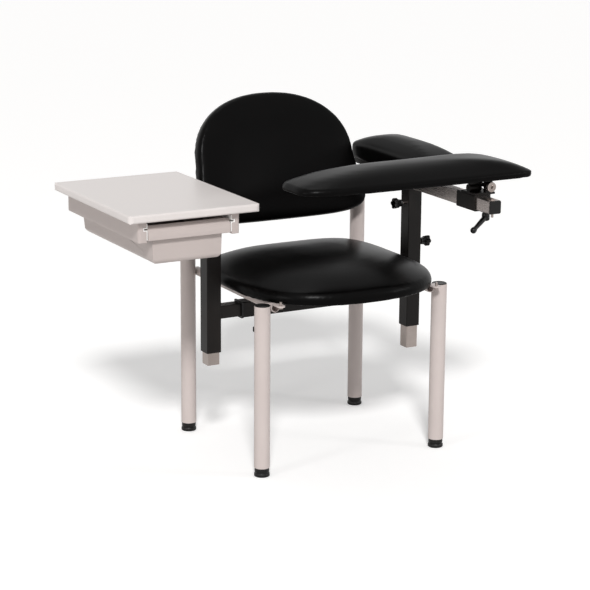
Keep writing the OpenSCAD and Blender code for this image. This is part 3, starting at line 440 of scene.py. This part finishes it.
seatLook = {"sides": 160, "powers": (2.55, 4.15), "hem": 26, "recess": 13.2,
            "under": lambda turn: -0.2 - 3 * max(0, -math.sin(turn)) ** 6, "draw": 1.5, "side": 11,
            "ridge": 25, "ridgeTurn": 70, "ridgeSteps": 7, "top": 73, "crownSteps": 14, "crownPower": 2.6,
            "cap": 3, "holdTo": 20, "calm": 110}
flipLook = {"sides": 160, "powers": (4, 12), "hem": 24, "recess": 13.2, "under": -0.2, "draw": 1.5,
            "side": lambda turn: 11 - 8.5 * tipward(turn), "ridge": lambda turn: 6 + 14 * tipward(turn),
            "ridgeTurn": 66, "ridgeSteps": 5, "top": 47, "crownSteps": 12,
            "crownPower": lambda turn: 2.3 + 2.2 * max(0, math.cos(turn)) ** 2, "cap": 2.5,
            "voxelMm": 4.5, "holdTo": 14, "calm": 60}
rearLook = {"sides": 160, "powers": (9, 9), "hem": 22, "recess": 13.2, "under": -0.2, "draw": 1.5,
            "side": lambda turn: 33 + 5 * math.cos(turn), "ridge": 11,
            "ridgeTurn": 66, "ridgeSteps": 5, "top": 73.5, "crownSteps": 12, "crownPower": 2.2, "cap": 2.5,
            "voxelMm": 4.5, "holdTo": 32, "calm": 60}
backLook = {"sides": 160, "hem": 26, "recess": 13.2, "under": -0.2, "draw": 3, "side": 24, "ridge": 17,
            "ridgeTurn": 70, "ridgeSteps": 6, "top": 55, "crownSteps": 14, "crownPower": 2.4, "dish": 4,
            "cap": 3, "holdTo": 22, "calm": 80, "halfX": 221.5, "flare": 38.5, "flarePower": 1.5,
            "topPower": 2.2, "footPower": 5.9, "waist": 150, "foot": 153.5, "tall": 327,
            "bend": 1200, "board": 12, "lean": 19, "standY": 182.45, "standZ": 528}
pads = [
    ("seatPad", "seat_cushion", "frame", seatLook,
     ovalOutline(*halves("seat_cushion"), *seatLook["powers"]),
     flatPlace("seat_cushion", "seat_board"), 0.85),
    ("flipArmPad", "flip_cushion", "flip_arm", flipLook,
     ovalOutline(*halves("flip_cushion"), *flipLook["powers"], "x"),
     flatPlace("flip_cushion", "flip_board"), 0.9),
    ("rearArmPad", "rear_arm_cushion", "right_column", rearLook,
     ovalOutline(*halves("rear_arm_cushion"), *rearLook["powers"]),
     flatPlace("rear_arm_cushion", "rear_arm_board"), 0.9),
    ("backPad", "back_cushion", "frame", backLook, backOutline(backLook), backPlace(backLook), 0.8),
]
started = [clothStart(padBody(outline, look), name, look)
           for name, node, body, look, outline, place, fill in pads]
rests = [[vert.co.copy() for vert in pad.data.vertices] for pad in started]
for step in range(1, cloth["frames"] + 1):
    scene.frame_set(step)
for pad in started:
    bakeShape(pad)
scene.frame_set(1)
for pad, rest, (name, node, body, look, outline, place, fill) in zip(started, rests, pads):
    evenSwelling(pad, rest, look)
    for vert, start in zip(pad.data.vertices, rest):
        vert.co.z = max(vert.co.z, min(start.z, 0))
        vert.co = place(vert.co)
    for face in pad.data.polygons:
        face.use_smooth = True
    pad.data.materials.clear()
    pad.data.materials.append(finishes["vinyl"])
    smooth = pad.modifiers.new("smooth", "SUBSURF")
    smooth.levels = smooth.render_levels = 1
    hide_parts(node)
    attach(pad, body)
    print("pad", name, len(pad.data.vertices))


def bevelEdges(bm, edges, widthMm, segments):
    bmesh.ops.bevel(bm, geom=edges, offset=widthMm * millimetre, offset_type="OFFSET", segments=segments,
                    profile=0.5, affect="EDGES", clamp_overlap=True, material=-1)


# rounds every edge that turns more sharply than the given angle
def softenEdges(bm, widthMm, sharp=35):
    edges = [edge for edge in bm.edges if edge.is_manifold and edge.calc_face_angle(0) > math.radians(sharp)]
    bevelEdges(bm, edges, widthMm, 2)


weldMm = 0.005  # points nearer than this after a spin are one


# spins an outline of (radius, height) points once round Z; its two ends lie on the axis
def turned(outline, roundMm=0.5, steps=48):
    bm = bmesh.new()
    points = [bm.verts.new((radius * millimetre, 0, height * millimetre)) for radius, height in outline]
    lines = [bm.edges.new(pair) for pair in zip(points, points[1:])]
    bmesh.ops.spin(bm, geom=points + lines, cent=(0, 0, 0), axis=(0, 0, 1), angle=2 * math.pi, steps=steps,
                   use_merge=True)
    bmesh.ops.remove_doubles(bm, verts=bm.verts[:], dist=weldMm * millimetre)
    bmesh.ops.recalc_face_normals(bm, faces=bm.faces[:])
    softenEdges(bm, roundMm)
    return bm


def addTo(whole, bm, matrix):
    bmesh.ops.transform(bm, matrix=matrix, verts=bm.verts[:])
    mesh = bpy.data.meshes.new("joined")
    bm.to_mesh(mesh)
    bm.free()
    whole.from_mesh(mesh)
    bpy.data.meshes.remove(mesh)


def standAt(x, y, z):
    return Matrix.Translation(Vector((x, y, z)) * millimetre)


# glides: a flared foot, a groove, a collar that the leg tube stands on, and a plug inside the tube
glideLook = {"outline": [(0, 0), (16.5, 0), (18.9, 1.6), (19, 6.4), (18, 9), (16.2, 10), (16.2, 11.2),
                         (17.7, 12.4), (17.75, 21.95), (16.9, 21.98), (16.9, 30), (0, 30)], "round": 0.4}
for spot in ("front_left", "front_right", "rear_left", "rear_right"):
    low, high = corners("glide_" + spot)
    bm = turned(glideLook["outline"], glideLook["round"])
    bmesh.ops.transform(bm, matrix=standAt((low.x + high.x) / 2, (low.y + high.y) / 2, 0), verts=bm.verts[:])
    finishPiece(bm, "glide." + spot, "frame", "black_plastic", ("glide_" + spot,))

# tube caps: a rounded rim round a shallow dish
capLook = {"outline": [(0, -10), (16.9, -10), (16.9, 0), (18.5, 0), (18.4, 1.1), (17.2, 2.1), (15, 2.5),
                       (13.4, 2.1), (12, 1.6), (0, 1.4)], "round": 0.3}
for nodeName, legs in (("front_leg_caps", ("front_leg_left", "front_leg_right")),
                       ("rear_leg_caps", ("rear_leg_left", "rear_leg_right"))):
    whole = bmesh.new()
    for leg in legs:
        low, high = corners(leg)
        addTo(whole, turned(capLook["outline"], capLook["round"]),
              standAt((low.x + high.x) / 2, (low.y + high.y) / 2, high.z))
    finishPiece(whole, nodeName.replace("_", "."), "frame", "black_plastic", (nodeName,))

# star knobs: a tapered hub carries five round lobes, dished on the face
knobLook = {"sides": 100, "lobes": 5, "lobePower": 0.8, "reach": 14, "waist": 10.4, "height": 25,
            "rings": [(0, 0, 8), (0.6, 0, 8.5), (10.2, 0, 9.9), (11.3, 0.5, 11.6), (12.2, 1, 13.2),
                      (13.6, 1, 14), (22.8, 1, 14), (24.3, 1, 13.3), (25, 1, 11.6), (24.8, 0.4, 8),
                      (24.2, 0, 5)],
            "stud": 4, "studShort": 20, "studRound": 0.3, "studSides": 32}


# a ring gives its height, how much of the star shows there, and its radius
def knobSpot(turn, ring):
    height, star, radius = ring
    lobe = (0.5 - 0.5 * math.cos(knobLook["lobes"] * turn)) ** knobLook["lobePower"]
    dip = (knobLook["reach"] - knobLook["waist"]) * star * (1 - lobe)
    return (radius - dip) * math.cos(turn), (radius - dip) * math.sin(turn), height


for joint in frame["record"]["behaviour"]["joints"]:
    if not joint["name"].endswith("_knob_turn"):
        continue
    knob = joint["child"]
    axis = Vector(joint["axis"])
    low, high = corners(knob)
    along = max(range(3), key=lambda number: abs(axis[number]))
    spot = Vector(joint["pos_m"]) / millimetre
    spot[along] = (high if axis[along] > 0 else low)[along]  # the knob's outer face
    facing = standAt(*spot) @ axis.to_track_quat("Z", "Y").to_matrix().to_4x4()
    bm = grown(knobLook["sides"], knobLook["rings"], knobSpot)
    bmesh.ops.transform(bm, matrix=facing @ standAt(0, 0, -knobLook["height"]), verts=bm.verts[:])
    finishPiece(bm, "starKnob." + knob, knob, "black_plastic", (knob,))
    length = abs(high[along] - low[along])
    studEnd = length - knobLook["studShort"]  # the stud ends inside the knob
    stud = turned([(0, 0), (knobLook["stud"], 0), (knobLook["stud"], studEnd), (0, studEnd)],
                  knobLook["studRound"], knobLook["studSides"])
    bmesh.ops.transform(stud, matrix=facing @ standAt(0, 0, -length), verts=stud.verts[:])
    finishPiece(stud, "knobStud." + knob, knob, "steel")

# clamp lever: a hub below the boss and a slim arm that swells at its end
leverLook = {"hub": [(0, -25), (6, -25), (9.2, -22.5), (9.5, -19), (9.5, -8), (7.6, -5), (7.4, 0), (0, 0)],
             "hubRound": 0.5, "hubHeight": 25,
             "arm": [(0, 0), (6.6, 0), (6.2, 22), (5.3, 46), (5.4, 55), (7.2, 58.5), (7.4, 64.5),
                     (5.8, 67.6), (0, 68)],
             "armRound": 0.6, "armSides": 32, "armUp": 9.5, "drop": 22, "heading": 207}
low, high = corners("clamp_lever")
leverJoint = next(joint for joint in frame["record"]["behaviour"]["joints"] if joint["name"] == "lever_turn")
leverX, leverY = (value / millimetre for value in leverJoint["pos_m"][:2])
whole = bmesh.new()
addTo(whole, turned(leverLook["hub"], leverLook["hubRound"]), standAt(leverX, leverY, high.z))
armFoot = standAt(leverX, leverY, high.z - leverLook["hubHeight"] + leverLook["armUp"])
addTo(whole, turned(leverLook["arm"], leverLook["armRound"], leverLook["armSides"]),
      armFoot @ Matrix.Rotation(math.radians(leverLook["heading"]), 4, "Z")
      @ Matrix.Rotation(math.radians(90 + leverLook["drop"]), 4, "Y"))
finishPiece(whole, "clampLever", "lever", "black_plastic", ("clamp_lever",))


# each piece's node, body, edge width and, where it has one, the radius of its upright front corner
easedPieces = [
    ("drawer", "table_drawer", 1.2, 0),
    ("drawer_rail_left", "left_column", 1.2, 8),
    ("drawer_rail_right", "left_column", 1.2, 5),
    ("arm_sleeve", "sleeve", 0.8, 0),
    ("hinge_base", "swivel", 0.8, 0),
    ("hinge_leaf", "flip_arm", 0.8, 0),
    ("hinge_bolt", "swivel", 0.9, 0),
    ("arm_rail_caps", "right_column", 1.0, 0),
    ("table_support", "left_column", 0.8, 0),
]
# points nearer than mergeMm become one, bends under flat degrees are dissolved, and edges that turn by
# more than sharp degrees are rounded; an outer corner's edge is longer than uprightMm and lies at most
# frontMm and besideMm from the node's box
easing = {"mergeMm": 0.002, "flat": 0.8, "sharp": 50, "uprightMm": 30, "frontMm": 1, "besideMm": 0.5,
          "cornerSteps": 5}


# a copy of a CAD node, merged, with its flat faces joined and its edges eased
def easedNode(nodeName, body, widthMm, cornerMm):
    bm = bmesh.new()
    bm.from_mesh(frame["nodes"][nodeName].data)
    bmesh.ops.remove_doubles(bm, verts=bm.verts[:], dist=easing["mergeMm"] * millimetre)
    flat = math.radians(easing["flat"])
    bmesh.ops.dissolve_limit(bm, angle_limit=flat, verts=bm.verts[:], edges=bm.edges[:])
    if cornerMm:  # the upright outer corner at the front is rounded further
        low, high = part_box(nodeName)
        upright, front, beside = (easing[name] * millimetre for name in ("uprightMm", "frontMm", "besideMm"))
        outer = [edge for edge in bm.edges if abs(edge.verts[0].co.z - edge.verts[1].co.z) > upright
                 and all(vert.co.y < low.y + front for vert in edge.verts)
                 and all(min(abs(vert.co.x - low.x), abs(vert.co.x - high.x)) < beside for vert in edge.verts)
                 and (edge.verts[0].co.x < (low.x + high.x) / 2) == ("left" in nodeName)]
        bevelEdges(bm, outer, cornerMm, easing["cornerSteps"])
    softenEdges(bm, widthMm, easing["sharp"])
    piece = finishPiece(bm, nodeName.replace("_", ".") + ".eased", body, slotOf[nodeName], (nodeName,))
    weighted = piece.modifiers.new("weighted", "WEIGHTED_NORMAL")
    weighted.keep_sharp = True


for nodeName, body, widthMm, cornerMm in easedPieces:
    easedNode(nodeName, body, widthMm, cornerMm)
print("pieces made")

# camera: where the photograph was taken from; the eye is measured from the chair's middle
cameraLook = {"eye": (-2407, -4332, 1622), "azimuth": -28.57, "pitch": 14.16, "roll": 0.41, "lens": 125.5,
              "sensor": 36}
eyeX, eyeY, eyeZ = cameraLook["eye"]
azimuth, pitch, roll = (math.radians(cameraLook[angle]) for angle in ("azimuth", "pitch", "roll"))
ahead = Vector((-math.sin(azimuth) * math.cos(pitch), math.cos(azimuth) * math.cos(pitch), -math.sin(pitch)))
right = Vector((math.cos(azimuth), math.sin(azimuth), 0))
up = right.cross(ahead)
cameraX = right * math.cos(roll) + up * math.sin(roll)
cameraY = up * math.cos(roll) - right * math.sin(roll)
cameraData = bpy.data.cameras.new("camera")
cameraData.sensor_fit = "HORIZONTAL"
cameraData.sensor_width = cameraLook["sensor"]
cameraData.lens = cameraLook["lens"]
camera = bpy.data.objects.new("camera", cameraData)
scene.collection.objects.link(camera)
turn = Matrix((cameraX, cameraY, -ahead)).transposed().to_4x4()
camera.matrix_world = Matrix.Translation(Vector((eyeX + chairX, eyeY + chairY, eyeZ)) * millimetre) @ turn
scene.camera = camera

# studio: one soft sun high behind the camera, whose shadow falls straight behind the chair,
# weak soft lamps overhead and on both sides, and an even pale room
sunLook = {"toLight": (-0.45, -0.89, 0.80), "spread": 9, "strength": 2.35}
sunData = bpy.data.lights.new("keySun", "SUN")
sunData.energy = sunLook["strength"]
sunData.angle = math.radians(sunLook["spread"])
sun = bpy.data.objects.new("keySun", sunData)
sun.rotation_euler = Vector(sunLook["toLight"]).to_track_quat("Z", "Y").to_euler()
scene.collection.objects.link(sun)
lamps = [
    ("topLamp", (0.2, 0.6, 3.4), 1.2, 8),
    ("sideLampLeft", (-2.6, -0.9, 1.25), 0.5, 9),
    ("sideLampRight", (2.3, -1.9, 1.35), 0.5, 9),
]
lampAim = Vector((0, 0, 0.45))
for name, spot, size, power in lamps:
    lampData = bpy.data.lights.new(name, "AREA")
    lampData.shape = "DISK"
    lampData.size = size
    lampData.energy = power
    lamp = bpy.data.objects.new(name, lampData)
    lamp.location = spot
    lamp.rotation_euler = (lampAim - lamp.location).to_track_quat("-Z", "Y").to_euler()
    scene.collection.objects.link(lamp)

# the room lights the chair weakly; the camera, gloss and glass see a full white backdrop instead
roomLook = {"colour": "#FFFFFF", "strength": 0.34, "backdrop": 1.0}
world = bpy.data.worlds.new("room")
scene.world = world
world.use_nodes = True
worldTree = world.node_tree
worldTree.nodes.clear()
rays = addNode(worldTree, "ShaderNodeLightPath")
direct = addNode(worldTree, "ShaderNodeMath", {0: rays.outputs["Is Camera Ray"],
                                               1: rays.outputs["Is Transmission Ray"]}, operation="MAXIMUM")
seen = addNode(worldTree, "ShaderNodeMath", {0: direct.outputs[0], 1: rays.outputs["Is Glossy Ray"]},
               operation="MAXIMUM")
room, backdrop = (addNode(worldTree, "ShaderNodeBackground",
                          {"Color": linear(roomLook["colour"]), "Strength": roomLook[share]})
                  for share in ("strength", "backdrop"))
either = addNode(worldTree, "ShaderNodeMixShader",
                 {0: seen.outputs[0], 1: room.outputs[0], 2: backdrop.outputs[0]})
addNode(worldTree, "ShaderNodeOutputWorld", {"Surface": either.outputs[0]})

floorLook = {"size": 30, "colour": "#F4F3F2", "lift": 0.25}
floorMaterial = bpy.data.materials.new("paleFloor")
floorMaterial.use_nodes = True
floorTree = floorMaterial.node_tree
floorTree.nodes.clear()
floorRays = addNode(floorTree, "ShaderNodeLightPath")
matt = addNode(floorTree, "ShaderNodeBsdfDiffuse", {"Color": linear(floorLook["colour"])})
lift = addNode(floorTree, "ShaderNodeMath", {0: floorRays.outputs["Is Camera Ray"], 1: floorLook["lift"]},
               operation="MULTIPLY")
glow = addNode(floorTree, "ShaderNodeEmission",
               {"Color": linear(roomLook["colour"]), "Strength": lift.outputs[0]})
both = addNode(floorTree, "ShaderNodeAddShader", {0: matt.outputs[0], 1: glow.outputs[0]})
addNode(floorTree, "ShaderNodeOutputMaterial", {"Surface": both.outputs[0]})
floorMesh = bmesh.new()
bmesh.ops.create_grid(floorMesh, x_segments=1, y_segments=1, size=floorLook["size"] / 2)
floorData = bpy.data.meshes.new("floor")
floorMesh.to_mesh(floorData)
floorMesh.free()
floor = bpy.data.objects.new("floor", floorData)
floor.data.materials.append(floorMaterial)
scene.collection.objects.link(floor)

scene.view_settings.view_transform = "Standard"
print("stage: finish")
